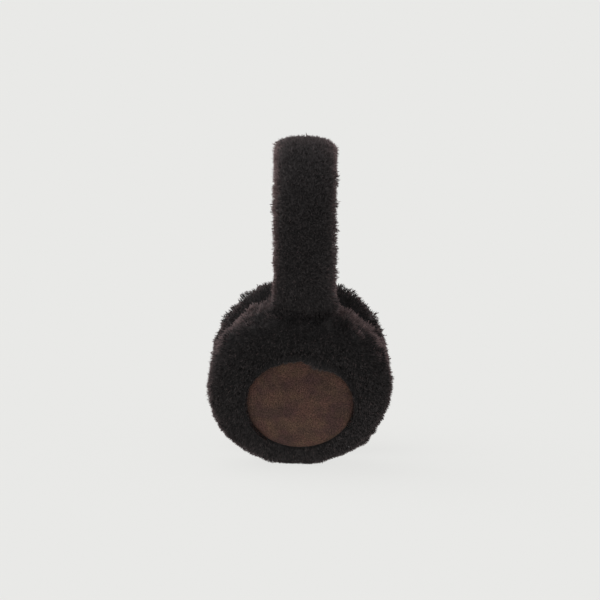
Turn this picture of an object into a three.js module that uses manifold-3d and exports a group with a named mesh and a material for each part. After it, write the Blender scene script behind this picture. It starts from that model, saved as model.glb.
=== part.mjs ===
// Sheepskin earmuffs: two round, thickly furred ear cups on an arched furred headband, with a
// domed suede patch let into each cup's outer face.
// Units are millimetres. +Z is up, X runs from cup to cup and Y from the wearer's face to the back
// of the head. The origin lies midway between the cups, on the surface that they stand on.

import * as THREE from "three";
import { mergeVertices } from "three/addons/utils/BufferGeometryUtils.js";
import Module from "manifold-3d";

const wasm = await Module();
wasm.setup();

// Ear cups, measured over the fur
const CUP_RADIUS = 56;
const CUP_THICKNESS = 48;
const CUP_SQUARENESS = 3.2; // superellipse exponent of the cup's section: 2 is an ellipse
const CUP_TILT = THREE.MathUtils.degToRad(26); // the cups' lower edges lean together
const CUP_GAP = 7; // between the cups' inner faces, at their closest
const PRESSED_DEPTH = 2; // how far the fur that the earmuffs stand on is pressed flat
const EAR_HOLLOW_RADIUS = 24; // the soft dimple in the face that lies on the ear
const EAR_HOLLOW_DEPTH = 3;

// Headband, measured over the fur
const HEAD_RISE = 129; // from the cups' centres up to the inside of the arch
const BAND_WIDTH = 39.5;
const BAND_THICKNESS = 20;
const BAND_SQUARENESS = 2.7;
const BAND_FLARE = 3.5; // extra width where the band meets a cup
const FLARE_LENGTH = 20;
const BAND_FOOT = 26; // how far the band runs on past the cup's rim before the cup cuts it off

// Suede patches
const PATCH_RADIUS = 33;
const PATCH_WALL = 1.8;
const PATCH_CROWN = 2.6; // height of the dome over its rim
const PATCH_SUNK = 3; // depth of the patch's rim below the flat of the cup's outer face
const PATCH_SEGMENTS = 56;

// Fur locks: each is a small pyramid of the fleece, fused to the skin beneath it
const LOCK_LENGTH = 2.6;
const LOCK_SPACING = 5.3; // between a lock's tip and the hollows beside it
const LOCK_SLIDE = 0.3; // how far a tip strays sideways, as a share of the spacing
const TIP_LOWEST = 0.8; // heights over the skin, as shares of a lock's length
const TIP_HIGHEST = 1.1;
const HOLLOW_HIGHEST = 0.25;
const SALT = { cupHeight: 1, cupSlide: 2, bandHeight: 3, bandSlide: 4 }; // a scatter of its own for each

const SEAM_GAP = 0.3; // clearance between pieces that are sewn together
const PROFILE_STEPS = 600; // of the fine sampling that equal lengths are measured on
const MERGE_DISTANCE = 1e-4; // points closer than this are one
const MIRROR_X = new THREE.Vector3(-1, 1, 1);

const furMaterial = new THREE.MeshStandardMaterial({ color: 0x262222, roughness: 0.95, metalness: 0 });
const suedeMaterial = new THREE.MeshStandardMaterial({ color: 0x43332d, roughness: 0.9, metalness: 0 });

// A repeatable number from 0 to 1 for one place on a piece.
function scatter(row, place, salt) {
  const wave = Math.sin(row * 127.1 + place * 311.7 + salt * 74.7) * 43758.5453;
  return wave - Math.floor(wave);
}

function smoothstep(t) {
  const u = Math.min(1, Math.max(0, t));
  return u * u * (3 - 2 * u);
}

// A point of the superellipse |a/A|^p + |b/B|^p = 1 with its outward normal, at an angle.
function superellipse(A, B, p, angle) {
  const c = Math.cos(angle);
  const s = Math.sin(angle);
  const a = A * Math.sign(c) * Math.abs(c) ** (2 / p);
  const b = B * Math.sign(s) * Math.abs(s) ** (2 / p);
  const normal = new THREE.Vector2(
    (Math.sign(a) * Math.abs(a / A) ** (p - 1)) / A,
    (Math.sign(b) * Math.abs(b / B) ** (p - 1)) / B,
  ).normalize();
  return { a, b, normal };
}

// Samples of a superellipse from one angle to another, count + 1 of them at equal lengths along it.
function evenSamples(A, B, p, from, to, count) {
  const fine = [];
  let length = 0;
  for (let i = 0; i <= PROFILE_STEPS; i++) {
    const point = superellipse(A, B, p, from + ((to - from) * i) / PROFILE_STEPS);
    const before = fine[i - 1];
    if (before) length += Math.hypot(point.a - before.a, point.b - before.b);
    fine.push({ ...point, length });
  }
  const samples = [];
  let at = 0;
  for (let k = 0; k <= count; k++) {
    const wanted = (length * k) / count;
    while (at < PROFILE_STEPS && fine[at].length < wanted - MERGE_DISTANCE) at++;
    samples.push(fine[at]);
  }
  return samples;
}

function superellipseLength(A, B, p, from, to) {
  return evenSamples(A, B, p, from, to, 1)[1].length;
}

// How far a lock's tip or the hollow beside it stands over the skin, which lies LOCK_LENGTH under
// the fur's outline. Tips and hollows alternate along each row and from row to row.
function furHeight(row, place, salt) {
  const isTip = (row + place) % 2 === 0;
  const vary = scatter(row, place, salt);
  const share = isTip ? THREE.MathUtils.lerp(TIP_LOWEST, TIP_HIGHEST, vary) : HOLLOW_HIGHEST * vary;
  return LOCK_LENGTH * share;
}

function lockSlide(row, place, salt) {
  return LOCK_SLIDE * LOCK_SPACING * (scatter(row, place, salt) - 0.5);
}

// Closes rows of points into one skin. Each row is a loop, or one point at an end, and the loops
// start side by side, whatever their number of points. Where two rows run level, the edge between
// them joins hollow to hollow, so that each tip is the top of its own pyramid.
function skin(rows) {
  const positions = [];
  const starts = [];
  for (const row of rows) {
    starts.push(positions.length / 3);
    for (const point of row) positions.push(point.x, point.y, point.z);
  }
  const faces = [];
  for (let k = 0; k + 1 < rows.length; k++) {
    const n = rows[k].length;
    const m = rows[k + 1].length;
    let i = 0;
    let j = 0;
    while (i < n || j < m) {
      const a = starts[k] + (i % n);
      const b = starts[k + 1] + (j % m);
      const lead = i / n - j / m;
      const isLevel = Math.abs(lead) < 0.5 / Math.max(n, m);
      const wantsFirst = isLevel ? (k + i) % 2 === 0 : lead < 0;
      if (i < n && (wantsFirst || j === m)) {
        i++;
        if (n > 1) faces.push(a, b, starts[k] + (i % n));
      } else {
        j++;
        if (m > 1) faces.push(a, b, starts[k + 1] + (j % m));
      }
    }
  }
  const geometry = new THREE.BufferGeometry();
  geometry.setAttribute("position", new THREE.Float32BufferAttribute(positions, 3));
  geometry.setIndex(faces);
  return geometry;
}

// three.js geometry to a manifold-3d solid, and back
function solidOf(geometry) {
  const bare = geometry.clone();
  bare.deleteAttribute("normal");
  bare.deleteAttribute("uv");
  const merged = mergeVertices(bare, MERGE_DISTANCE);
  return new wasm.Manifold(
    new wasm.Mesh({
      numProp: 3,
      vertProperties: new Float32Array(merged.attributes.position.array),
      triVerts: new Uint32Array(merged.index.array),
    }),
  );
}

function geometryOf(solid) {
  const mesh = solid.getMesh();
  const geometry = new THREE.BufferGeometry();
  geometry.setAttribute("position", new THREE.BufferAttribute(mesh.vertProperties, 3));
  geometry.setIndex(new THREE.BufferAttribute(mesh.triVerts, 1));
  geometry.computeVertexNormals();
  return geometry;
}

// The main body of a cut solid, without the crumbs that two lumpy surfaces leave between them.
function mainBody(solid) {
  return solid.decompose().reduce((most, body) => (body.volume() > most.volume() ? body : most));
}

// The cup's outline reaches furthest along a direction given in its own section.
function cupReach(alongRadius, alongAxis) {
  let reach = 0;
  for (let i = 0; i <= PROFILE_STEPS; i++) {
    const angle = Math.PI * (i / PROFILE_STEPS - 0.5);
    const { a, b } = superellipse(CUP_RADIUS, CUP_THICKNESS / 2, CUP_SQUARENESS, angle);
    reach = Math.max(reach, a * alongRadius + b * alongAxis);
  }
  return reach;
}

const cupCentreX = CUP_GAP / 2 + cupReach(Math.sin(CUP_TILT), Math.cos(CUP_TILT));
const cupCentreZ = cupReach(Math.cos(CUP_TILT), Math.sin(CUP_TILT)) - PRESSED_DEPTH;

// The cup's own frame: +X along its axis, away from the ear, and +Z towards the headband
const cupFrame = new THREE.Matrix4()
  .makeTranslation(cupCentreX, 0, cupCentreZ)
  .multiply(new THREE.Matrix4().makeRotationY(CUP_TILT));
const cupFrameInverse = cupFrame.clone().invert();

// The weight of the earmuffs presses the lowest fur flat on the surface, where its locks close up.
// Outline is the place of a lock's full length there.
function pressed(point, outline) {
  const onSurface = outline.applyMatrix4(cupFrame);
  if (onSurface.z > 0) return point;
  onSurface.z = 0;
  return onSurface.applyMatrix4(cupFrameInverse);
}

// Ear cup: rows of fur round the cup's axis, from the middle of its outer face over the rim to the
// middle of its inner face. Growth thickens the whole cup, to cut its neighbours with a clearance.
function furCup(growth) {
  const A = CUP_RADIUS - LOCK_LENGTH;
  const B = CUP_THICKNESS / 2 - LOCK_LENGTH;
  const arc = [Math.PI / 2, -Math.PI / 2];
  const count = Math.round(superellipseLength(A, B, CUP_SQUARENESS, ...arc) / LOCK_SPACING);
  const samples = evenSamples(A, B, CUP_SQUARENESS, ...arc, count);
  const rows = samples.map(({ a, b, normal }, row) => {
    const isPole = row === 0 || row === count;
    const around = isPole ? 1 : 2 * Math.max(3, Math.round((Math.PI * a) / LOCK_SPACING));
    return Array.from({ length: around }, (_, place) => {
      const angle = (2 * Math.PI * place) / around + (isPole ? 0 : lockSlide(row, place, SALT.cupSlide) / a);
      const at = (height) => {
        const radius = isPole ? 0 : a + normal.x * height;
        const dimple = b < 0 ? EAR_HOLLOW_DEPTH * smoothstep(1 - radius / EAR_HOLLOW_RADIUS) : 0;
        const axial = b + normal.y * height + dimple;
        return new THREE.Vector3(axial, -radius * Math.sin(angle), radius * Math.cos(angle));
      };
      return pressed(at(furHeight(row, place, SALT.cupHeight) + growth), at(LOCK_LENGTH + growth));
    });
  });
  return skin(rows);
}

// Suede patch: the height of its outer side over the cup's middle plane, at a radius from the axis
const patchRimHeight = CUP_THICKNESS / 2 - PATCH_SUNK;

function patchHeight(radius) {
  return patchRimHeight + PATCH_CROWN * (1 - (radius / PATCH_RADIUS) ** 2);
}

// A turned solid about the cup's axis from [radius, height] points, which end on the axis.
function turned(points) {
  const profile = points.map(([radius, height]) => new THREE.Vector2(radius, height));
  return new THREE.LatheGeometry(profile, PATCH_SEGMENTS).rotateZ(-Math.PI / 2);
}

const PATCH_RINGS = [0, 0.3, 0.55, 0.75, 0.9, 1]; // shares of the patch's radius

function suedePatch() {
  const under = PATCH_RINGS.map((share) => [
    share * PATCH_RADIUS,
    patchHeight(share * PATCH_RADIUS) - PATCH_WALL,
  ]);
  const outer = PATCH_RINGS.map((share) => [share * PATCH_RADIUS, patchHeight(share * PATCH_RADIUS)]);
  return turned([...under, ...outer.reverse()]);
}

// The recess that the patch is sewn into, open towards the outside
function patchRecess() {
  const radius = PATCH_RADIUS + SEAM_GAP;
  const floor = PATCH_RINGS.map((share) => [
    share * radius,
    patchHeight(share * PATCH_RADIUS) - PATCH_WALL - SEAM_GAP,
  ]);
  return turned([...floor, [radius, CUP_THICKNESS], [0, CUP_THICKNESS]]);
}

function earCup() {
  const fur = solidOf(furCup(0));
  return geometryOf(mainBody(fur.subtract(solidOf(patchRecess()))));
}

// Headband: its centre line is an arc over the head that passes through the top of each cup's rim,
// and runs straight on from there.
const rimTop = new THREE.Vector3(0, 0, CUP_RADIUS).applyMatrix4(cupFrame);
const apexHeight = cupCentreZ + HEAD_RISE + BAND_THICKNESS / 2;
const archCentreZ = (apexHeight ** 2 - rimTop.x ** 2 - rimTop.z ** 2) / (2 * (apexHeight - rimTop.z));
const archRadius = apexHeight - archCentreZ;
const archHalfAngle = Math.atan2(rimTop.x, rimTop.z - archCentreZ);
const archHalfLength = archRadius * archHalfAngle;

// The point at a length along the centre line from its apex, and the band's outward direction there
function archPoint(length) {
  const angle = THREE.MathUtils.clamp(length / archRadius, -archHalfAngle, archHalfAngle);
  const straight = length - angle * archRadius;
  const outward = new THREE.Vector3(Math.sin(angle), 0, Math.cos(angle));
  const along = new THREE.Vector3(Math.cos(angle), 0, -Math.sin(angle));
  const point = outward.clone().multiplyScalar(archRadius).addScaledVector(along, straight);
  point.z += archCentreZ;
  return { point, outward, along };
}

function furBand() {
  const halfLength = archHalfLength + BAND_FOOT;
  const halfRows = Math.round(halfLength / LOCK_SPACING);
  const B = BAND_THICKNESS / 2 - LOCK_LENGTH;
  const circle = [2 * Math.PI, 0];
  const plainA = BAND_WIDTH / 2 - LOCK_LENGTH;
  const loop = superellipseLength(plainA, B, BAND_SQUARENESS, ...circle);
  const around = 2 * Math.round(loop / LOCK_SPACING / 2);
  const rows = [];
  for (let k = -halfRows; k <= halfRows; k++) {
    const length = (halfLength * k) / halfRows;
    const { point, outward, along } = archPoint(length);
    const toCup = archHalfLength - Math.abs(length);
    const A = plainA + (BAND_FLARE / 2) * smoothstep(1 - toCup / FLARE_LENGTH);
    const section = evenSamples(A, B, BAND_SQUARENESS, ...circle, around).slice(0, around);
    const row = section.map(({ a, b, normal }, place) => {
      // The fur parts along the seam across the apex, so no lock stands there
      const height = k === 0 ? 0 : furHeight(Math.abs(k), place, SALT.bandHeight);
      const slide = k === 0 ? 0 : Math.sign(k) * lockSlide(Math.abs(k), place, SALT.bandSlide);
      return point
        .clone()
        .addScaledVector(along, slide)
        .addScaledVector(outward, b + normal.y * height)
        .add(new THREE.Vector3(0, a + normal.x * height, 0));
    });
    rows.push(row);
  }
  const middle = (end) => [archPoint(end * halfLength).point];
  return skin([middle(-1), ...rows, middle(1)]);
}

function headband() {
  const left = solidOf(furCup(SEAM_GAP).applyMatrix4(cupFrame));
  const right = left.mirror([1, 0, 0]);
  return geometryOf(mainBody(solidOf(furBand()).subtract(left).subtract(right)));
}

// Assembly
function named(name, geometry, material) {
  const mesh = new THREE.Mesh(geometry, material);
  mesh.name = name;
  return mesh;
}

function ear(side) {
  const group = new THREE.Group();
  group.add(named(`ear_cup_${side}`, earCup(), furMaterial));
  group.add(named(`suede_patch_${side}`, suedePatch(), suedeMaterial));
  group.position.set(cupCentreX, 0, cupCentreZ);
  group.rotation.y = CUP_TILT;
  return group;
}

const rightEar = new THREE.Group();
rightEar.add(ear("right"));
rightEar.scale.copy(MIRROR_X);

const earmuffs = new THREE.Group();
earmuffs.add(named("headband", headband(), furMaterial), ear("left"), rightEar);

export default earmuffs;
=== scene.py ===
# Sheepskin earmuffs: the fleece of the two cups and the headband, its curly pile and the suede
# patches, in a pale studio.
# Units are metres. +Z is up, X runs from cup to cup and Y from the wearer's face to the back of the
# head. The earmuffs' sizes below are real sizes.

import math
from collections import namedtuple

import bpy
import numpy as np
from mathutils import Matrix, Vector, noise


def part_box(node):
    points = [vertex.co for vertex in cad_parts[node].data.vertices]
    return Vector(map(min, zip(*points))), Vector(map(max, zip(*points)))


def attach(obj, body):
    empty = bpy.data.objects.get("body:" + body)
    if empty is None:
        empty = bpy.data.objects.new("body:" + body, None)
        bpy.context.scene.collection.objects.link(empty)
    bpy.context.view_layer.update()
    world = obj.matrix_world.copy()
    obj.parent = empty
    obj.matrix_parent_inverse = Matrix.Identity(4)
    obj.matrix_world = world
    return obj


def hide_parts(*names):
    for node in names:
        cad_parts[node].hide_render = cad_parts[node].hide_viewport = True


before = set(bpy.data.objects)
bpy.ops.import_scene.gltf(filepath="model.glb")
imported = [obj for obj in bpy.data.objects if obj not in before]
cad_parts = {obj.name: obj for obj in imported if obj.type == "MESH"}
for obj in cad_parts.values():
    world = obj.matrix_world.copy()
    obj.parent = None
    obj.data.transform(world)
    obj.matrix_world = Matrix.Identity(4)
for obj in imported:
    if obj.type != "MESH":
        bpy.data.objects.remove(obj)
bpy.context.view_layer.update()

BODY = "root"
MM = 0.001
DEGREE = math.pi / 180
TINY = 1e-12  # the least length that a vector is divided by

# Seeds of the piles, to which their side is added: 1 for the left and -1 for the right
OUTER_SEED = 3
INNER_SEED = 7
BAND_SEED = 11
SEED_STRIDE = 1000  # how many places lie between the starts of seeds that are one apart

# The noise, which is shifted by the clock unless it has a seed, and its part for each use
NOISE_SEED = 4
LUMP_SALT = 1
FLOW_SALT = 10
DENT_SALT = 20
TONE_SALT = 31
SALT_SHIFT = (7.31, 3.77, 5.13)
noise.seed_set(NOISE_SEED)

# Ear cups, measured over the fur
CUP_RADIUS = 56 * MM
CUP_THICKNESS = 48 * MM
CUP_SQUARENESS = 3.2  # superellipse exponent of the cup's section
CUP_TILT = 26 * DEGREE
EAR_HOLLOW_RADIUS = 24 * MM
EAR_HOLLOW_DEPTH = 3 * MM

# Headband, measured over the fur
BAND_WIDTH = 39.5 * MM
BAND_THICKNESS = 20 * MM
BAND_SQUARENESS = 2.7
BAND_FLARE = 3.5 * MM
FLARE_LENGTH = 20 * MM
BAND_TUCK = 12 * MM  # how far the headband runs on into a cup

# Suede patches
PATCH_RADIUS = 33 * MM
PATCH_WALL = 1.8 * MM
PATCH_CROWN = 2.6 * MM
PATCH_SUNK = 3 * MM
SEAM_GAP = 0.3 * MM
PATCH_ROLL = 4 * MM  # width of the rim that is drawn down into the seam
PATCH_ROLL_DEPTH = 0.9 * MM
DENT_DEPTH = 0.9 * MM  # of the padding's soft unevenness under the suede
DENT_SIZE = 15 * MM
DENT_FADE = 8 * MM  # width of the strip along the rim in which the dents end
PATCH_BED = 0.6 * MM  # room between the suede and the skin under it
BED_MARGIN = 1 * MM  # how far that bed runs on past the patch

# Fleece
PILE_DEPTH = 3.4 * MM  # from the skin up to the fur's outline
FLOOR_CLEARANCE = 0.15 * MM
SKIN_CLEARANCE = 1.2 * MM

# The fleece's lumps: rounded, with creases between them, and highest on a piece's curved edges
LUMP_HEIGHT = 7.0 * MM
LUMP_SIZE = 8 * MM
LUMP_ROUNDING = 0.09
LUMP_MEAN = 0.23
LUMP_ON_FACE = 0.14  # height of the lumps on the flat faces, as a share of that on upper edges
LUMP_ON_SIDE = 0.25  # the same for edges that face sideways or down
SLOPE_LEAN = 0.42  # how far the pile leans out of its lumps' creases
SLOPE_STEP = 0.4 * MM
FACING_GAIN = 1.5  # how soon the fleece counts as facing up or down as it tips that way

# Pile: strands grow in tufts, which lean and curl together
OUTER_DENSITY = 3.05e6  # strands on a square metre of skin, on the cups' outer halves
INNER_DENSITY = 1.60e6
BAND_DENSITY = 2.45e6
STRANDS_PER_TUFT = 2
STRAND_RISE = 0.99  # height of a tip over the skin, as a share of the pile's depth
RISE_SCATTER = 0.10
STRAND_SCATTER = 0.4 * MM
BEND_AT = 0.55  # place of a strand's bend, as a share of its length
TUFT_SPREAD = 0.7 * MM
CLUMPING = 0.12  # how far a strand's tip is drawn to its tuft's tip
TUFT_LEAN = 0.7 * MM
FLOW_LEAN = 0.5 * MM
GRAVITY_LEAN = 0.4 * MM
CURL = 0.55 * MM
FLOW_SIZE = 9 * MM
UNDER_CALM = 0.8  # how much smoother the pile lies where it faces the floor
CUP_TONE = 0.25
BAND_TONE = 0.41
# Painted shade: the hanging fringe gets a darker tone than the cups, for the shade that falls among
# standing strands
FRINGE_SHADED_TONE = 0.12
TONE_BY_PLACE = 0.07
TONE_BY_TUFT = 0.03
CUP_CONTRAST = 0.29  # spread of tone from strand to strand
BAND_CONTRAST = 0.14
TONE_LEAST = 0.02
TONE_SIZE = 13 * MM
NORMAL_OWN = 0.35  # how far a strand is shaded by its own roundness rather than the fleece's
COVER = 0.71  # strand width at the bend, as a share of the mean distance between strands
WIDTH_RANGE = (0.7, 1.3)  # width of single strands, as shares of the mean

# Where the fleece of a cup's rim is fuller or thinner: side of the cup (1 left, -1 right), turn round
# its axis from the headband (towards the wearer's face is positive) and half-width in degrees,
# height in millimetres
CUP_SPOTS = [
    (1, 121, 36, 1.2),
    (1, -155, 30, -1.4),
    (1, 54, 12, 0.8),
    (1, 42, 7, 1.6),
    (1, 30, 12, 2.4),
    (1, 17, 13, 3.0),
    (1, -18, 13, 1.2),
    (1, 0, 40, 1.2),
    (1, -45, 22, 0.7),
    (1, -116, 24, -0.9),
    (-1, 0, 40, 1.4),
    (-1, 32, 14, 0.7),
    (-1, -38, 20, 1.0),
]
# The same for the headband: place from its apex (0) to a cup (1 left, -1 right), half-width in the
# same shares, which way it faces (1 the back, -1 the front, 0 up) and height in millimetres
BAND_SPOTS = [
    (0.0, 0.35, 0, -1.5),
    (0.16, 0.03, 0, -0.8),
    (0.0, 0.30, 1, -1.3),
    (0.0, 0.20, -1, -0.6),
    (0.75, 0.40, 1, 0.8),
    (0.50, 2.00, -1, -1.2),
    (1.00, 0.40, -1, -2.6),
    (-1.00, 0.40, -1, -3.0),
]
# Painted light and shade in the fleece's tone: above zero the fibre tips are made lighter and browner
# where light catches them, below zero darker where shade falls. On a cup, on the half towards the ear:
# side, turn, half-width and how much lighter. On the headband: which way it faces and how much
# lighter.
CUP_PAINTED_LIGHT_AND_SHADE = [
    # painted highlight along the left cup's upper rim, towards the face and towards the back
    (1, 50, 62, 0.66),
    (1, -52, 60, 1.30),
    # painted shade over most of the right cup's rim
    (-1, 0, 130, -0.38),
]
BAND_PAINTED_LIGHT_AND_SHADE = [
    # painted light on the sides, most on the front, and painted shade on the top
    (-1, 1.00),
    (1, 0.45),
    (0, -0.20),
]

# The fur over the patch hangs down across its upper edge: turn in degrees from the top, towards the
# wearer's face, and reach over the suede in millimetres
FRINGE = [
    (-125, 0.0),
    (-100, 0.7),
    (-62, 1.4),
    (-41, 3.8),
    (-24, 6.2),
    (-17, 6.6),
    (-6, 3.6),
    (14, 3.0),
    (41, 1.8),
    (62, 1.3),
    (100, 1.3),
    (125, 0.9),
    (150, 0.0),
]
FRINGE_STRANDS = 5600
FRINGE_TUFTS = 110
FRINGE_ROOTS = 3.0 * MM  # width of the strip beside the seam in which they grow
FRINGE_LEAST = 0.2 * MM
FRINGE_WIDTH = 0.42 * MM
FRINGE_TUFT_REACH = (0.62, 1.18)  # reach of single tufts, as shares of the table's
FRINGE_STRAND_REACH = (0.5, 1.0)  # reach of single strands, as shares of their tuft's
FRINGE_BEND_HEIGHT = (1.5, 3.2)  # over the suede, in millimetres
FRINGE_TIP_HEIGHT = (0.3, 1.3)
FRINGE_BEND_SCATTER = 0.3 * MM
FRINGE_TIP_SCATTER = 1.1 * MM

# How the spots and the painted light and shade of the fibre tips begin and end
EDGE_GAIN = 1.5  # how soon a cup's spots are full as its skin turns from a face to the rim
PAINTED_LIGHT_EDGE_GAIN = 3  # the same for its paler tips
PAINTED_LIGHT_FULLNESS = 1.5  # the higher, the wider the full middle of a paler stretch
PAINTED_LIGHT_FROM = 0.488  # share of a cup's section, which is 0.5 at the widest turn of its rim
PAINTED_LIGHT_RISE = 0.022
# Painted shade over the outer half of a cup's curved edge
SHOULDER_PAINTED_SHADE = 0.28  # how much darker a cup's curved edge is on the outer half
BAND_PAINTED_LIGHT_FADE = 12 * MM  # length over which the headband's paler edges end at a cup

# How fine the pieces are
PROFILE_STEPS = 800
CUP_ROWS, CUP_COLUMNS = 60, 120
BAND_ROWS, BAND_COLUMNS = 150, 48
PATCH_RINGS, PATCH_COLUMNS = 24, 96
RING_CROWDING = 0.8  # exponent that sets the patch's rings closer together towards its rim

# Faces of one strand, whose points are its root, three round its bend and its tip
SPINDLE = np.array([[0, 2, 1], [0, 3, 2], [0, 1, 3], [4, 1, 2], [4, 2, 3], [4, 3, 1]])
SPINDLE_POINTS = 5
BAKE_MAP = "OFBake"
MAP_WIDTH = 0.004
PLASTIC_NUMBER = 1.32471795724474602596

# Finish
FLEECE_TINT = (0.85, 0.60, 0.60)
SUEDE_TINT = (0.55, 0.40, 0.33)
# Painted shade on the suede near a patch's top, where the fur hangs over it
SUEDE_PAINTED_TOP_SHADE = 0.76  # of the nap near a patch's top, where the fur hangs over it
MIX_FACTOR, MIX_FIRST, MIX_SECOND = 0, 6, 7  # a mix node's sockets for colours
MIX_RESULT = 2

# Studio
PALE = (0.8148, 0.8148, 0.7991)  # the backdrop as the camera sees it
FLOOR_REACH = 60.0
FLOOR_GLOW = 0.92  # share of the floor's brightness that is its own, which keeps shadows faint
SKY_STRENGTH = 0.52
KEY_STRENGTH = 1.8
KEY_WIDTH = 60 * DEGREE
KEY_DIRECTION = (-0.2, -0.5, 1.0)  # towards the lamp, above and some way to the face's side

# Camera
CAMERA_DISTANCE = 2.0
CAMERA_ELEVATION = 7.2 * DEGREE
CAMERA_ROLL = 1.25 * DEGREE
CAMERA_TARGET = Vector((0.0, -0.0012, 0.0974))
CAMERA_LENS = 193.5
CAMERA_CLIP = 200
SENSOR_WIDTH = 36.0

UP = np.array([0.0, 0.0, 1.0])
AXIS = np.array([1.0, 0.0, 0.0])

# Points on a skin with their normals, and 1 on a piece's curved edge down to 0 on its faces
Place = namedtuple("Place", "points normals edge")
Strands = namedtuple("Strands", "roots bends tips normals tone width")


def superellipse(a, b, power, angle):
    """Points of |x/a|^power + |y/b|^power = 1 with their outward normals, at some angles."""
    c, s = np.cos(angle), np.sin(angle)
    x = a * np.sign(c) * np.abs(c) ** (2 / power)
    y = b * np.sign(s) * np.abs(s) ** (2 / power)
    nx = np.sign(x) * np.abs(x / a) ** (power - 1) / a
    ny = np.sign(y) * np.abs(y / b) ** (power - 1) / b
    length = np.hypot(nx, ny)
    return x, y, nx / length, ny / length


def smoothstep(t):
    u = np.clip(t, 0, 1)
    return u * u * (3 - 2 * u)


def unit(vectors):
    return vectors / np.maximum(np.linalg.norm(vectors, axis=-1, keepdims=True), TINY)


def field(points, size, salt):
    """A smooth random vector at each point, with lumps of this size."""
    shift = Vector([salt * part for part in SALT_SHIFT])
    return np.array([noise.noise_vector(Vector(p) / size + shift) for p in points])


def wrapped(turn):
    """An angle brought to between -pi and pi."""
    return (turn + math.pi) % (2 * math.pi) - math.pi


def cup_reach(along_radius, along_axis):
    """How far the cup's outline reaches along a direction given in its own section."""
    angle = np.linspace(-math.pi / 2, math.pi / 2, PROFILE_STEPS)
    x, y, _, _ = superellipse(CUP_RADIUS, CUP_THICKNESS / 2, CUP_SQUARENESS, angle)
    return float(np.max(x * along_radius + y * along_axis))


# Skins
class CupSkin:
    """The surface of one cup at a depth under the fur's outline.

    A point is (share, turn): the share of the section's length from the middle of the outer face to
    the middle of the inner face, and the turn round the cup's axis in radians, 0 at the headband.
    """

    tone = CUP_TONE
    contrast = CUP_CONTRAST

    def __init__(self, side, depth):
        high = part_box("ear_cup_left")[1]
        self.side = side
        self.centre = np.array([
            side * (high.x - cup_reach(math.sin(CUP_TILT), math.cos(CUP_TILT))),
            0.0,
            high.z - cup_reach(math.cos(CUP_TILT), math.sin(CUP_TILT)),
        ])
        self.a = CUP_RADIUS - depth
        self.b = CUP_THICKNESS / 2 - depth
        self.angle = np.linspace(math.pi / 2, -math.pi / 2, PROFILE_STEPS)
        self.radius, height, _, _ = superellipse(self.a, self.b, CUP_SQUARENESS, self.angle)
        steps = np.hypot(np.diff(self.radius), np.diff(height))
        lengths = np.concatenate([[0], np.cumsum(steps)])
        self.length = lengths[-1]
        self.share = lengths / self.length
        rings = np.concatenate([[0], np.cumsum(steps * (self.radius[1:] + self.radius[:-1]) / 2)])
        self.area = 2 * math.pi * rings[-1]
        self.area_share = rings / rings[-1]

    def share_of_area(self, portion):
        """The share of the length at which this portion of the area is passed."""
        return np.interp(portion, self.area_share, self.share)

    def share_at_radius(self, radius):
        """The share of the length at which the outer face has this radius."""
        outer = self.angle > 0
        return np.interp(radius, self.radius[outer], self.share[outer])

    def radius_at(self, share):
        return np.interp(share, self.share, self.radius)

    def place(self, share, turn):
        angle = np.interp(share, self.share, self.angle)
        radius, axial, n_radius, n_axial = superellipse(self.a, self.b, CUP_SQUARENESS, angle)
        dimple = EAR_HOLLOW_DEPTH * smoothstep(1 - radius / EAR_HOLLOW_RADIUS)
        axial = axial + np.where(axial < 0, dimple, 0)
        around = np.stack([np.zeros_like(turn), -np.sin(turn), np.cos(turn)], -1)
        points = axial[..., None] * AXIS + radius[..., None] * around
        normals = n_axial[..., None] * AXIS + n_radius[..., None] * around
        return Place(self.to_world(points) + self.centre, unit(self.to_world(normals)), n_radius**2)

    def slid(self, rng, share, turn):
        """The same points, each moved a little along the skin."""
        radius = np.maximum(self.radius_at(share), TUFT_SPREAD)
        moved = share + rng.normal(size=len(share)) * TUFT_SPREAD / self.length
        return np.clip(moved, 0, 1), turn + rng.normal(size=len(turn)) * TUFT_SPREAD / radius

    def spots(self, place, share, turn):
        """How much fuller the fleece is than even."""
        height = np.zeros(len(turn))
        for side, middle, half_width, rise in CUP_SPOTS:
            if side == self.side:
                away = np.abs(wrapped(turn - middle * DEGREE)) / (half_width * DEGREE)
                height += rise * MM * smoothstep(1 - away) * smoothstep(place.edge * EDGE_GAIN)
        return height

    def painted_light_and_shade(self, place, share, turn):
        """Painted light and shade: how much lighter the fibre tips are made along the rim, and darker
        where shade falls.
        """
        ear_half = smoothstep((share - PAINTED_LIGHT_FROM) / PAINTED_LIGHT_RISE)
        # painted shade on the outer half of the curved edge; painted light on the ear half below
        amount = -SHOULDER_PAINTED_SHADE * place.edge * (1 - ear_half)
        towards_ear = ear_half * smoothstep(place.edge * PAINTED_LIGHT_EDGE_GAIN)
        for side, middle, half_width, rise in CUP_PAINTED_LIGHT_AND_SHADE:
            if side == self.side:
                away = np.abs(wrapped(turn - middle * DEGREE)) / (half_width * DEGREE)
                amount += rise * smoothstep(PAINTED_LIGHT_FULLNESS * (1 - away)) * towards_ear
        return amount

    def to_world(self, vectors):
        """Turns vectors from the cup's own frame, where +X is its axis away from the ear."""
        c, s = math.cos(CUP_TILT), math.sin(CUP_TILT)
        x = vectors[..., 0] * c + vectors[..., 2] * s
        z = -vectors[..., 0] * s + vectors[..., 2] * c
        return np.stack([x * self.side, vectors[..., 1], z], -1)


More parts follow.
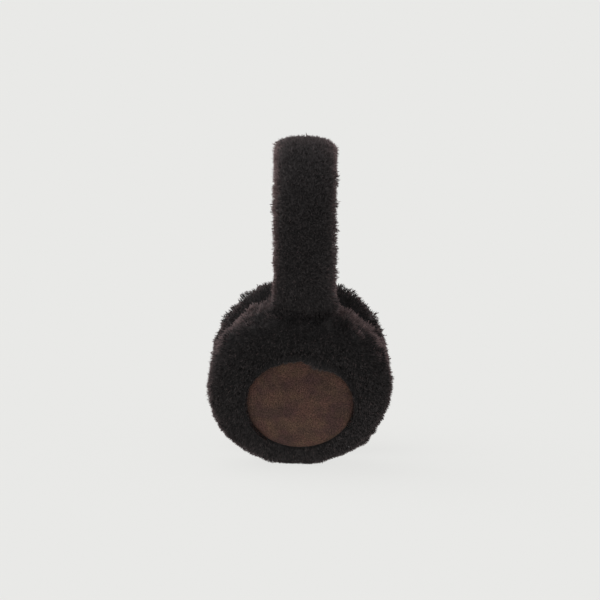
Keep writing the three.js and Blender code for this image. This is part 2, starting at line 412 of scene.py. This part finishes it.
class BandSkin:
    """The surface of the headband at a depth under the fur's outline.

    A point is (length, share): the length along the arch from its apex, towards +X, and the share
    of the way round the section.
    """

    tone = BAND_TONE
    contrast = BAND_CONTRAST

    def __init__(self, depth):
        self.depth = depth
        self.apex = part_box("headband")[1].z - BAND_THICKNESS / 2
        cup = CupSkin(1, 0)
        rim = cup.to_world(np.array([0.0, 0.0, CUP_RADIUS])) + cup.centre
        x, z = abs(rim[0]), rim[2]
        self.centre_z = (self.apex**2 - x**2 - z**2) / (2 * (self.apex - z))
        self.radius = self.apex - self.centre_z
        self.half_angle = math.atan2(x, z - self.centre_z)
        self.half_length = self.radius * self.half_angle
        angle = np.linspace(0, 2 * math.pi, PROFILE_STEPS)
        a, b = BAND_WIDTH / 2 - depth, BAND_THICKNESS / 2 - depth
        across, out, _, _ = superellipse(a, b, BAND_SQUARENESS, angle)
        lengths = np.concatenate([[0], np.cumsum(np.hypot(np.diff(across), np.diff(out)))])
        self.loop = lengths[-1]
        self.angle, self.share = angle, lengths / self.loop

    def place(self, length, share):
        angle = np.interp(share % 1, self.share, self.angle)
        flare = BAND_FLARE / 2 * smoothstep(1 - (self.half_length - np.abs(length)) / FLARE_LENGTH)
        a = BAND_WIDTH / 2 - self.depth + flare
        b = BAND_THICKNESS / 2 - self.depth
        across, out, n_across, n_out = superellipse(a, b, BAND_SQUARENESS, angle)
        bend = np.clip(length / self.radius, -self.half_angle, self.half_angle)
        straight = length - bend * self.radius
        zero = np.zeros_like(bend)
        outward = np.stack([np.sin(bend), zero, np.cos(bend)], -1)
        along = np.stack([np.cos(bend), zero, -np.sin(bend)], -1)
        side = np.array([0.0, 1.0, 0.0])
        points = outward * (self.radius + out)[..., None] + along * straight[..., None]
        points = points + across[..., None] * side + self.centre_z * UP
        normals = unit(outward * n_out[..., None] + n_across[..., None] * side)
        return Place(points, normals, n_across**2)

    def slid(self, rng, length, share):
        """The same points, each moved a little along the skin."""
        moved = length + rng.normal(size=len(length)) * TUFT_SPREAD
        return moved, share + rng.normal(size=len(share)) * TUFT_SPREAD / self.loop

    def spots(self, place, length, share):
        """How much fuller the fleece is than even."""
        height = np.zeros(len(length))
        for middle, half_width, facing, rise in BAND_SPOTS:
            away = np.abs(length / self.half_length - middle) / half_width
            height += rise * MM * smoothstep(1 - away) * self.faces(place, facing)
        return height

    def painted_light_and_shade(self, place, length, share):
        """Painted light and shade: how much lighter the fibre tips are made on the headband's sides,
        most at the front, and darker on its top.
        """
        amount = np.zeros(len(length))
        for facing, rise in BAND_PAINTED_LIGHT_AND_SHADE:
            amount += rise * self.faces(place, facing)
        return amount * smoothstep((self.half_length - np.abs(length)) / BAND_PAINTED_LIGHT_FADE)

    def faces(self, place, facing):
        """How squarely places face the back (1), the front (-1) or up (0), from 0 to 1."""
        towards = place.normals[:, 1] * facing if facing else place.normals[:, 2]
        return np.clip(towards, 0, 1) ** 2


def billow(points):
    """Rounded lumps with creases between them, about zero on the whole."""
    value = field(points, LUMP_SIZE, LUMP_SALT)[:, 0]
    return np.sqrt(value**2 + LUMP_ROUNDING**2) - LUMP_MEAN


def calm(normals):
    """How unruly the fleece is, from 1 down to less where it faces the floor."""
    return 1 - UNDER_CALM * smoothstep(-normals[:, 2] * FACING_GAIN)


def relief(skin, place, first, second):
    """How high the fleece stands over its even skin, and its slope, at some places."""
    upward = LUMP_ON_SIDE + (1 - LUMP_ON_SIDE) * smoothstep(place.normals[:, 2] * FACING_GAIN)
    amount = LUMP_HEIGHT * (LUMP_ON_FACE + (1 - LUMP_ON_FACE) * place.edge * upward)
    height = amount * billow(place.points)
    ahead = [place.points + step for step in SLOPE_STEP * np.eye(3)]
    slope = np.stack([(amount * billow(points) - height) / SLOPE_STEP for points in ahead], -1)
    slope -= place.normals * np.sum(slope * place.normals, axis=1, keepdims=True)
    return height + skin.spots(place, first, second), slope


# Materials
def new_material(name):
    material = bpy.data.materials.new(name)
    material.use_nodes = True
    nodes = material.node_tree.nodes
    return material, nodes, material.node_tree.links, nodes["Principled BSDF"]


def mix_colours(nodes, links, factor, first, second):
    """A node that mixes two colours, each a colour or a socket, by a socket."""
    mix = nodes.new("ShaderNodeMix")
    mix.data_type = "RGBA"
    links.new(factor, mix.inputs[MIX_FACTOR])
    for place, colour in ((MIX_FIRST, first), (MIX_SECOND, second)):
        if isinstance(colour, bpy.types.NodeSocket):
            links.new(colour, mix.inputs[place])
        else:
            mix.inputs[place].default_value = (*colour, 1)
    return mix.outputs[MIX_RESULT]


def multiply_colours(nodes, links, first, second):
    mix = nodes.new("ShaderNodeMix")
    mix.data_type = "RGBA"
    mix.blend_type = "MULTIPLY"
    mix.inputs[MIX_FACTOR].default_value = 1.0
    links.new(first, mix.inputs[MIX_FIRST])
    links.new(second, mix.inputs[MIX_SECOND])
    return mix.outputs[MIX_RESULT]


def attribute(nodes, name):
    node = nodes.new("ShaderNodeAttribute")
    node.attribute_name = name
    return node.outputs["Fac"]


def ramp(nodes, links, factor, stops):
    """A colour ramp over a socket. A stop is a position and a grey or a colour."""
    node = nodes.new("ShaderNodeValToRGB")
    elements = node.color_ramp.elements
    while len(elements) < len(stops):
        elements.new(0.5)
    for element, (position, value) in zip(elements, stops):
        element.position = position
        element.color = (value, value, value, 1) if isinstance(value, float) else (*value, 1)
    links.new(factor, node.inputs["Fac"])
    return node.outputs["Color"]


def cloud(nodes, links, size, detail, roughness=0.5):
    """Smooth noise whose lumps are about this size on the object."""
    place = nodes.new("ShaderNodeTexCoord")
    texture = nodes.new("ShaderNodeTexNoise")
    texture.inputs["Scale"].default_value = 1 / size
    texture.inputs["Detail"].default_value = detail
    texture.inputs["Roughness"].default_value = roughness
    links.new(place.outputs["Object"], texture.inputs["Vector"])
    return texture.outputs["Fac"]


def bump(nodes, links, height, strength, distance):
    """The normal of a surface roughened by a socket's height."""
    node = nodes.new("ShaderNodeBump")
    node.inputs["Strength"].default_value = strength
    node.inputs["Distance"].default_value = distance
    links.new(height, node.inputs["Height"])
    return node.outputs["Normal"]


def set_finish(shader, roughness, specular, sheen, sheen_roughness, tint):
    shader.inputs["Roughness"].default_value = roughness
    shader.inputs["Specular IOR Level"].default_value = specular
    shader.inputs["Sheen Weight"].default_value = sheen
    shader.inputs["Sheen Roughness"].default_value = sheen_roughness
    shader.inputs["Sheen Tint"].default_value = (*tint, 1)


def pile_material():
    """Fleece fibres: near black at the root, browner at the tip, each strand in its own tone."""
    material, nodes, links, shader = new_material("fleece_pile")
    # The tone attribute also carries painted light and shade: lighter tips on lit rims and headband
    # sides, darker ones in shade.
    tip = ramp(nodes, links, attribute(nodes, "tone"), [
        (0.0, (0.0280, 0.0278, 0.0283)),
        (0.65, (0.1050, 0.0930, 0.0940)),
        (1.0, (0.1950, 0.1420, 0.1400)),
    ])
    depth = ramp(nodes, links, attribute(nodes, "along"), [(0.0, 0.25), (0.55, 0.48), (1.0, 1.0)])
    colour = multiply_colours(nodes, links, tip, depth)
    links.new(colour, shader.inputs["Base Color"])
    set_finish(
        shader, roughness=0.8, specular=0.15, sheen=0.38, sheen_roughness=0.35, tint=FLEECE_TINT
    )
    return material


def skin_material():
    """The dense underwool between the tufts, speckled as its fibres catch the light."""
    material, nodes, links, shader = new_material("fleece_skin")
    speck = cloud(nodes, links, size=0.7 * MM, detail=3, roughness=0.7)
    colour = ramp(nodes, links, speck, [
        (0.34, (0.0180, 0.0178, 0.0182)),
        (0.66, (0.0560, 0.0520, 0.0525)),
    ])
    links.new(colour, shader.inputs["Base Color"])
    rough = bump(nodes, links, speck, strength=0.6, distance=0.5 * MM)
    links.new(rough, shader.inputs["Normal"])
    set_finish(
        shader, roughness=0.9, specular=0.1, sheen=0.3, sheen_roughness=0.4, tint=FLEECE_TINT
    )
    return material


def patch_rise(nodes, links):
    """How far up a patch a point is, from 0 at its lowest edge to 1 at its highest."""
    low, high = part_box("suede_patch_left")
    place = nodes.new("ShaderNodeTexCoord")
    split = nodes.new("ShaderNodeSeparateXYZ")
    rise = nodes.new("ShaderNodeMapRange")
    rise.inputs["From Min"].default_value = low.z
    rise.inputs["From Max"].default_value = high.z
    links.new(place.outputs["Object"], split.inputs["Vector"])
    links.new(split.outputs["Z"], rise.inputs["Value"])
    return rise.outputs["Result"]


def suede_material():
    """Brown suede: cloudy nap that lies several ways, specks of its fibres and their fine bump."""
    material, nodes, links, shader = new_material("suede")
    broad_cloud = cloud(nodes, links, size=13 * MM, detail=2)
    hue_cloud = cloud(nodes, links, size=8 * MM, detail=3, roughness=0.6)
    speck_cloud = cloud(nodes, links, size=0.6 * MM, detail=2, roughness=0.7)
    broad = ramp(nodes, links, broad_cloud, [(0.38, 0.0), (0.62, 1.0)])
    hue = ramp(nodes, links, hue_cloud, [(0.40, 0.0), (0.60, 1.0)])
    speck = ramp(nodes, links, speck_cloud, [(0.36, 0.14), (0.64, 1.0)])
    reddish = mix_colours(nodes, links, broad, (0.0980, 0.0510, 0.0465), (0.1480, 0.0750, 0.0585))
    olive = mix_colours(nodes, links, broad, (0.0940, 0.0545, 0.0435), (0.1480, 0.0850, 0.0585))
    colour = mix_colours(nodes, links, hue, reddish, olive)
    # Painted shade: the suede darkens towards a patch's top, where the fur hangs over it.
    painted_top_shade = ramp(nodes, links, patch_rise(nodes, links), [(0.45, 1.0), (1.0, SUEDE_PAINTED_TOP_SHADE)])
    shaded = multiply_colours(nodes, links, speck, painted_top_shade)
    links.new(multiply_colours(nodes, links, colour, shaded), shader.inputs["Base Color"])
    fibres = cloud(nodes, links, size=0.4 * MM, detail=3, roughness=0.7)
    rough = bump(nodes, links, fibres, strength=0.35, distance=0.15 * MM)
    links.new(rough, shader.inputs["Normal"])
    set_finish(
        shader, roughness=0.92, specular=0.15, sheen=0.15, sheen_roughness=0.5, tint=SUEDE_TINT
    )
    return material


# Meshes
def new_piece(name, points, faces, material):
    mesh = bpy.data.meshes.new(name)
    mesh.from_pydata(points, [], faces)
    mesh.materials.append(material)
    mesh.polygons.foreach_set("use_smooth", np.ones(len(mesh.polygons), bool))
    mesh.update()
    piece = bpy.data.objects.new(name, mesh)
    bpy.context.scene.collection.objects.link(piece)
    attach(piece, BODY)
    return piece


def wrapped_grid(rows, columns, flip):
    """Faces of a grid of rows whose columns close round, with a fan over each end of the rows."""
    faces = []
    for i in range(rows - 1):
        for j in range(columns):
            k = (j + 1) % columns
            quad = (i * columns + j, i * columns + k, (i + 1) * columns + k, (i + 1) * columns + j)
            faces.append(quad[::-1] if flip else quad)
    first, last = rows * columns, rows * columns + 1
    for j in range(columns):
        k = (j + 1) % columns
        start = (first, k, j)
        end = (last, (rows - 1) * columns + j, (rows - 1) * columns + k)
        faces.append(start[::-1] if flip else start)
        faces.append(end[::-1] if flip else end)
    return faces


def grid(first, second):
    """Every pair of two rows of numbers, as two flat arrays."""
    a, b = np.meshgrid(first, second, indexing="ij")
    return a.ravel(), b.ravel()


def over_floor(points, clearance):
    points[:, 2] = np.maximum(points[:, 2], clearance)
    return points


def fleece_cup(name, side, material):
    """The padded body of a cup: its skin, hollowed where the suede patch is let in."""
    skin = CupSkin(side, PILE_DEPTH)
    share, turn = grid(
        np.linspace(0, 1, CUP_ROWS + 2)[1:-1],
        np.linspace(0, 2 * math.pi, CUP_COLUMNS, endpoint=False),
    )
    share = np.concatenate([share, [0.0, 1.0]])
    turn = np.concatenate([turn, [0.0, 0.0]])
    place = skin.place(share, turn)
    height, _ = relief(skin, place, share, turn)
    points = place.points + place.normals * height[:, None]
    axis = skin.to_world(AXIS)
    offset = points - skin.centre
    axial = offset @ axis
    radius = np.linalg.norm(offset - axial[:, None] * axis, axis=1)
    bed = patch_height(np.minimum(radius, PATCH_RADIUS)) - PATCH_WALL - PATCH_BED
    under_patch = (radius < PATCH_RADIUS + BED_MARGIN) & (axial > 0)
    sunk = np.where(under_patch, np.minimum(axial, bed), axial)
    points += (sunk - axial)[:, None] * axis
    points = over_floor(points, SKIN_CLEARANCE)
    piece = new_piece(name, points, wrapped_grid(CUP_ROWS, CUP_COLUMNS, side > 0), material)
    return piece


def fleece_band(name, band, material):
    """The padded body of the headband, whose ends run on into the cups."""
    reach = band.half_length + BAND_TUCK
    length, share = grid(
        np.linspace(-reach, reach, BAND_ROWS),
        np.linspace(0, 1, BAND_COLUMNS, endpoint=False),
    )
    place = band.place(length, share)
    height, _ = relief(band, place, length, share)
    points = place.points + place.normals * height[:, None]
    ends = [points[:BAND_COLUMNS].mean(0), points[-BAND_COLUMNS:].mean(0)]
    points = np.concatenate([points, ends])
    piece = new_piece(name, points, wrapped_grid(BAND_ROWS, BAND_COLUMNS, True), material)
    return piece


def patch_height(radius):
    """Height of the patch's outer side over the cup's middle plane."""
    rim = CUP_THICKNESS / 2 - PATCH_SUNK
    roll = smoothstep((radius - PATCH_RADIUS + PATCH_ROLL) / PATCH_ROLL)
    return rim + PATCH_CROWN * (1 - (radius / PATCH_RADIUS) ** 2) - PATCH_ROLL_DEPTH * roll


def suede_patch(name, side, material, salt):
    """A domed disc of suede with its own thickness, a little uneven over the padding."""
    skin = CupSkin(side, 0)
    rings, columns = PATCH_RINGS, PATCH_COLUMNS
    radius, turn = grid(
        PATCH_RADIUS * (np.arange(1, rings + 1) / rings) ** RING_CROWDING,
        np.linspace(0, 2 * math.pi, columns, endpoint=False),
    )
    radius = np.concatenate([[0.0], radius])
    turn = np.concatenate([[0.0], turn])
    flat = np.stack([np.zeros_like(turn), -radius * np.sin(turn), radius * np.cos(turn)], -1)
    fading = smoothstep((PATCH_RADIUS - radius) / DENT_FADE)
    dents = DENT_DEPTH * field(flat, DENT_SIZE, salt)[:, 0] * fading
    outer = flat + (patch_height(radius) + dents)[:, None] * AXIS
    inner = outer - PATCH_WALL * AXIS
    points = skin.to_world(np.concatenate([outer, inner])) + skin.centre
    count = len(outer)
    faces = []
    for j in range(columns):
        k = (j + 1) % columns
        faces.append((0, 1 + k, 1 + j))
        faces.append((count, count + 1 + j, count + 1 + k))
        for i in range(rings - 1):
            a, b = 1 + i * columns, 1 + (i + 1) * columns
            faces.append((a + j, a + k, b + k, b + j))
            faces.append((count + a + j, count + b + j, count + b + k, count + a + k))
        rim = 1 + (rings - 1) * columns
        faces.append((rim + j, rim + k, count + rim + k, count + rim + j))
    if side > 0:
        faces = [face[::-1] for face in faces]
    return new_piece(name, points, faces, material)


# Pile
def tufted(rng, skin, first, second, density):
    """The strands of the tufts that stand at some places of a skin, leaning and curling together."""
    tuft = skin.place(first, second)
    height, slope = relief(skin, tuft, first, second)
    heading = unit(tuft.normals - slope * SLOPE_LEAN)
    unruly = calm(heading)
    flow = field(tuft.points, FLOW_SIZE, FLOW_SALT) * FLOW_LEAN
    lean = flow + rng.normal(size=tuft.points.shape) * TUFT_LEAN / math.sqrt(3) - UP * GRAVITY_LEAN
    lean -= heading * np.sum(lean * heading, axis=1, keepdims=True)
    lean *= unruly[:, None]
    length = PILE_DEPTH * STRAND_RISE * (1 + RISE_SCATTER * unruly * rng.normal(size=len(first)))
    curl = rng.normal(size=tuft.points.shape) * CURL
    tuft_tips = tuft.points + tuft.normals * height[:, None] + heading * length[:, None] + lean

    tufts = np.repeat(np.arange(len(first)), STRANDS_PER_TUFT)
    place = skin.place(*skin.slid(rng, first[tufts], second[tufts]))
    rise = height[tufts] + np.sum(slope[tufts] * (place.points - tuft.points[tufts]), axis=1)
    roots = place.points + place.normals * rise[:, None]
    own_length = length[tufts] * (1 + RISE_SCATTER * unruly[tufts] * rng.normal(size=len(tufts)))
    scatter = rng.normal(size=roots.shape) * STRAND_SCATTER * unruly[tufts][:, None]
    tips = roots + heading[tufts] * own_length[:, None] + lean[tufts] + scatter
    tips += (tuft_tips[tufts] - tips) * CLUMPING
    bends = roots + (tips - roots) * BEND_AT + curl[tufts] + scatter
    normals = unit(place.normals - slope[tufts])
    width = COVER / math.sqrt(density) * rng.uniform(*WIDTH_RANGE, len(tufts))
    # The mean tone holds painted light and shade besides the fleece's own tone.
    mean = skin.tone + skin.painted_light_and_shade(tuft, first, second)
    tone = tones(rng, tuft.points, tufts, mean, skin.contrast)
    return Strands(roots, bends, tips, normals, tone, width)


def tones(rng, tuft_points, tufts, mean, contrast):
    """How pale each strand is, from 0 to 1: about a mean, by place, by tuft and by strand."""
    place = mean + TONE_BY_PLACE * field(tuft_points, TONE_SIZE, TONE_SALT)[:, 0]
    tuft = TONE_BY_TUFT * rng.normal(size=len(tuft_points))
    strand = contrast * rng.normal(size=len(tufts))
    return np.clip((place + tuft)[tufts] + strand, TONE_LEAST, 1)


def fringe(rng, skin):
    """Longer strands over the patch, rooted beside its seam and hanging across its upper edge."""
    turns, reaches = np.array(FRINGE).T
    turn = rng.uniform(turns[0], turns[-1], FRINGE_STRANDS)
    tufts = np.linspace(turns[0], turns[-1], FRINGE_TUFTS)
    ragged = np.interp(turn, tufts, rng.uniform(*FRINGE_TUFT_REACH, FRINGE_TUFTS))
    uneven = rng.uniform(*FRINGE_STRAND_REACH, FRINGE_STRANDS)
    reach = np.interp(turn, turns, reaches) * MM * ragged * uneven
    keep = reach > FRINGE_LEAST
    reach, turn = reach[keep], turn[keep] * DEGREE
    count = len(turn)
    beside = PATCH_RADIUS + SEAM_GAP + FRINGE_ROOTS * rng.uniform(0, 1, count)
    place = skin.place(skin.share_at_radius(beside), turn)

    def over_suede(radius, height, scatter):
        """Points over the suede, at a radius from the patch's middle and a height over it."""
        around = turn + rng.normal(size=count) * scatter / PATCH_RADIUS
        axial = patch_height(np.minimum(radius, PATCH_RADIUS)) + height
        local = np.stack([axial, -radius * np.sin(around), radius * np.cos(around)], -1)
        return skin.to_world(local) + skin.centre

    middle = (beside + PATCH_RADIUS - reach) / 2
    bend_height = rng.uniform(*FRINGE_BEND_HEIGHT, count) * MM
    bends = over_suede(middle, bend_height, FRINGE_BEND_SCATTER)
    tip_height = rng.uniform(*FRINGE_TIP_HEIGHT, count) * MM
    tips = over_suede(PATCH_RADIUS - reach, tip_height, FRINGE_TIP_SCATTER)
    # the fringe's darker tone is painted shade
    tone = np.clip(rng.normal(FRINGE_SHADED_TONE, skin.contrast, count), TONE_LEAST, 1)
    width = FRINGE_WIDTH * rng.uniform(*WIDTH_RANGE, count)
    return Strands(place.points, bends, tips, place.normals, tone, width)


def strand_mesh(name, rng, strands, material):
    """One mesh of closed strands: each is a three-sided spindle, pointed at its root and its tip."""
    roots, bends, tips, normals, tone, width = strands
    count = len(roots)
    along = unit(tips - roots)
    first = unit(np.cross(along, rng.normal(size=roots.shape)))
    second = np.cross(along, first)
    ring = [first * math.cos(k * 120 * DEGREE) + second * math.sin(k * 120 * DEGREE) for k in range(3)]
    half = (width / 2)[:, None]
    points = np.stack([roots, *(bends + out * half for out in ring), tips], axis=1)
    points = over_floor(points.reshape(-1, 3), FLOOR_CLEARANCE)
    at_bend = [normals + out * NORMAL_OWN for out in ring]
    shading = np.stack([normals, *at_bend, normals + along * NORMAL_OWN], axis=1)
    faces = ((np.arange(count) * SPINDLE_POINTS)[:, None, None] + SPINDLE).reshape(-1, 3)
    piece = new_piece(name, points, faces, material)
    mesh = piece.data
    mesh.normals_split_custom_set_from_vertices(unit(shading.reshape(-1, 3)))
    height = np.tile([0.0, BEND_AT, BEND_AT, BEND_AT, 1.0], count)
    tone_at = np.repeat(tone, SPINDLE_POINTS)
    for label, values in (("along", height), ("tone", tone_at)):
        layer = mesh.attributes.new(label, "FLOAT", "POINT")
        layer.data.foreach_set("value", values.astype(np.float32))
    across = np.tile([0.0, -MAP_WIDTH, 0.0, MAP_WIDTH, 0.0], count)
    places = np.stack([tone_at + across, height], axis=1)[faces.ravel()]
    mesh.uv_layers.new(name=BAKE_MAP).data.foreach_set("uv", places.astype(np.float32).ravel())


def spread(count, start):
    """Evenly scattered pairs from 0 to 1, by the additive recurrence of the plastic number."""
    k = np.arange(start, start + count)
    return (0.5 + k / PLASTIC_NUMBER) % 1, (0.5 + k / PLASTIC_NUMBER**2) % 1


def cup_pile(side, half, density, seed, material):
    """Half of a cup's pile: the outer half up to the rim, or the inner half that lies on the ear."""
    skin = CupSkin(side, PILE_DEPTH)
    rng = np.random.default_rng(seed)
    count = int(skin.area * density / 2 / STRANDS_PER_TUFT)
    portion, around = spread(count, seed * SEED_STRIDE)
    share = skin.share_of_area(portion / 2 + (0.5 if half == "inner" else 0))
    turn = around * 2 * math.pi
    if half == "outer":
        bare = skin.radius_at(share) < PATCH_RADIUS + SEAM_GAP + TUFT_SPREAD / 2
        share, turn = share[~bare], turn[~bare]
    strands = tufted(rng, skin, share, turn, density)
    if half == "outer":
        offset = strands.roots - skin.centre
        axis = skin.to_world(AXIS)
        radius = np.linalg.norm(offset - (offset @ axis)[:, None] * axis, axis=1)
        outside = radius > PATCH_RADIUS + SEAM_GAP
        hanging = fringe(rng, skin)
        strands = Strands(*(np.concatenate([a[outside], b]) for a, b in zip(strands, hanging)))
    name = f"pile_cup_{'left' if side > 0 else 'right'}_{half}"
    strand_mesh(name, rng, strands, material)


def band_pile(band, side, seed, material):
    """Half of the headband's pile, from its apex down to one cup."""
    rng = np.random.default_rng(seed)
    reach = band.half_length + BAND_TUCK / 2
    count = int(reach * band.loop * BAND_DENSITY / STRANDS_PER_TUFT)
    portion, around = spread(count, seed * SEED_STRIDE)
    strands = tufted(rng, band, side * portion * reach, around, BAND_DENSITY)
    strand_mesh(f"pile_band_{'left' if side > 0 else 'right'}", rng, strands, material)


# Studio and camera
def studio():
    """A pale floor that runs on into a backdrop of the same brightness."""
    corners = [(-FLOOR_REACH, -FLOOR_REACH, 0), (FLOOR_REACH, -FLOOR_REACH, 0)]
    corners += [(FLOOR_REACH, FLOOR_REACH, 0), (-FLOOR_REACH, FLOOR_REACH, 0)]
    mesh = bpy.data.meshes.new("floor")
    mesh.from_pydata(corners, [], [(0, 1, 2, 3)])
    floor = bpy.data.objects.new("floor", mesh)
    bpy.context.scene.collection.objects.link(floor)
    material, _, _, shader = new_material("floor")
    light = SKY_STRENGTH + KEY_STRENGTH * Vector(KEY_DIRECTION).normalized().z / math.pi
    lit = [value * (1 - FLOOR_GLOW) / light for value in PALE]
    shader.inputs["Base Color"].default_value = (*lit, 1)
    shader.inputs["Emission Color"].default_value = (*PALE, 1)
    shader.inputs["Emission Strength"].default_value = FLOOR_GLOW
    shader.inputs["Roughness"].default_value = 1.0
    shader.inputs["Specular IOR Level"].default_value = 0.0
    mesh.materials.append(material)
    world = bpy.data.worlds.new("studio")
    world.use_nodes = True
    nodes, links = world.node_tree.nodes, world.node_tree.links
    backdrop = nodes["Background"]
    backdrop.inputs["Color"].default_value = (*PALE, 1)
    sky = nodes.new("ShaderNodeBackground")
    sky.inputs["Color"].default_value = (1, 1, 1, 1)
    sky.inputs["Strength"].default_value = SKY_STRENGTH
    path = nodes.new("ShaderNodeLightPath")
    mix = nodes.new("ShaderNodeMixShader")
    links.new(path.outputs["Is Camera Ray"], mix.inputs["Fac"])
    links.new(sky.outputs["Background"], mix.inputs[1])
    links.new(backdrop.outputs["Background"], mix.inputs[2])
    links.new(mix.outputs["Shader"], nodes["World Output"].inputs["Surface"])
    bpy.context.scene.world = world


def soft_lamp(name, strength, width, direction):
    lamp = bpy.data.lights.new(name, "SUN")
    lamp.energy = strength
    lamp.angle = width
    holder = bpy.data.objects.new(name, lamp)
    holder.rotation_euler = Vector(direction).to_track_quat("Z", "Y").to_euler()
    bpy.context.scene.collection.objects.link(holder)


def camera():
    """The view from the wearer's left, a little above the floor."""
    data = bpy.data.cameras.new("camera")
    data.lens = CAMERA_LENS
    data.sensor_width = SENSOR_WIDTH
    data.clip_end = CAMERA_CLIP
    back = Vector((math.cos(CAMERA_ELEVATION), 0, math.sin(CAMERA_ELEVATION)))
    holder = bpy.data.objects.new("camera", data)
    turned = back.to_track_quat("Z", "Y").to_matrix() @ Matrix.Rotation(CAMERA_ROLL, 3, "Z")
    holder.matrix_world = Matrix.Translation(CAMERA_TARGET + back * CAMERA_DISTANCE) @ turned.to_4x4()
    bpy.context.scene.collection.objects.link(holder)
    bpy.context.scene.camera = holder


def earmuffs():
    pile, hide, suede = pile_material(), skin_material(), suede_material()
    for side, word in ((1, "left"), (-1, "right")):
        body = fleece_cup(f"fleece_cup_{word}", side, hide)
        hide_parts(f"ear_cup_{word}")
        patch = suede_patch(f"suede_{word}", side, suede, DENT_SALT + side)
        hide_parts(f"suede_patch_{word}")
        cup_pile(side, "outer", OUTER_DENSITY, OUTER_SEED + side, pile)
        cup_pile(side, "inner", INNER_DENSITY, INNER_SEED + side, pile)
    band = BandSkin(PILE_DEPTH)
    sleeve = fleece_band("fleece_band", band, hide)
    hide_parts("headband")
    for side in (1, -1):
        band_pile(band, side, BAND_SEED + side, pile)


camera()
studio()
soft_lamp("key", KEY_STRENGTH, KEY_WIDTH, KEY_DIRECTION)
earmuffs()

bpy.context.scene.view_settings.view_transform = "Standard"
bpy.context.view_layer.update()
